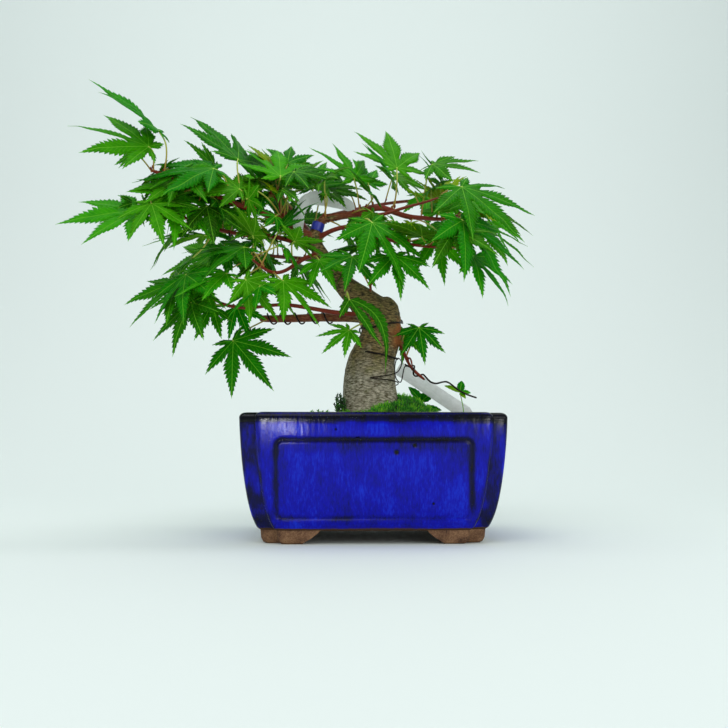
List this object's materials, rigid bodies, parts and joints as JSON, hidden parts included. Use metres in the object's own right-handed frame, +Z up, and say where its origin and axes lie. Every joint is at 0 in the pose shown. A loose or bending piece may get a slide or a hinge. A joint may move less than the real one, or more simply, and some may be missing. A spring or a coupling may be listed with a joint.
{
  "type": "potted maple bonsai tree",
  "caption": "Small informal bonsai maple with toothed palmate leaves and training wire, in a rectangular cobalt-glazed pot on bracket feet.",
  "frame": {"origin": "middle of the whole model's box, at the level of the pot's feet", "axes": "+Z up, the pot's long side along X, the display front faces -Y"},
  "size_m": [0.3402, 0.1732, 0.3127],
  "materials": {
    "glazed_stoneware": "opaque cobalt-blue glaze, dark at rim and edges, unglazed brown clay feet",
    "net": "moulded net",
    "soil": "granular fired-clay soil",
    "moss": "living cushion moss",
    "bark": "grey-brown maple bark, reddish young twigs",
    "leaf": "satin green leaf",
    "wire": "dark annealed training wire",
    "label": "white plastic film, blank",
    "tape": "blue vinyl tape"
  },
  "bodies": {
    "root": {"pot": "glazed_stoneware", "drain_screen_left": "net", "drain_screen_right": "net", "soil": "soil", "moss": "moss", "tree_wood": "bark", "soil_label": "label", "branch_label": "label", "tape_band": "tape", "wire_left_mid": "wire", "wire_left_low": "wire", "wire_base_shoot": "wire", "wire_trunk": "wire", "tie_wire": "wire", "leaf_01": "leaf", "leaf_02": "leaf", "leaf_03": "leaf", "leaf_04": "leaf", "leaf_05": "leaf", "leaf_06": "leaf", "leaf_07": "leaf", "leaf_08": "leaf", "leaf_09": "leaf", "leaf_10": "leaf", "leaf_11": "leaf", "leaf_12": "leaf", "leaf_13": "leaf", "leaf_14": "leaf", "leaf_15": "leaf", "leaf_16": "leaf", "leaf_17": "leaf", "leaf_18": "leaf", "leaf_19": "leaf", "leaf_20": "leaf", "leaf_21": "leaf", "leaf_22": "leaf", "leaf_23": "leaf", "leaf_24": "leaf", "leaf_25": "leaf", "leaf_26": "leaf", "leaf_27": "leaf", "leaf_28": "leaf", "leaf_29": "leaf", "leaf_30": "leaf", "leaf_31": "leaf", "leaf_32": "leaf", "leaf_33": "leaf", "leaf_34": "leaf", "leaf_35": "leaf", "leaf_36": "leaf", "leaf_37": "leaf", "leaf_38": "leaf", "leaf_39": "leaf", "leaf_40": "leaf", "leaf_41": "leaf", "leaf_42": "leaf", "leaf_43": "leaf", "leaf_44": "leaf", "leaf_45": "leaf"}
  },
  "joints": []
}
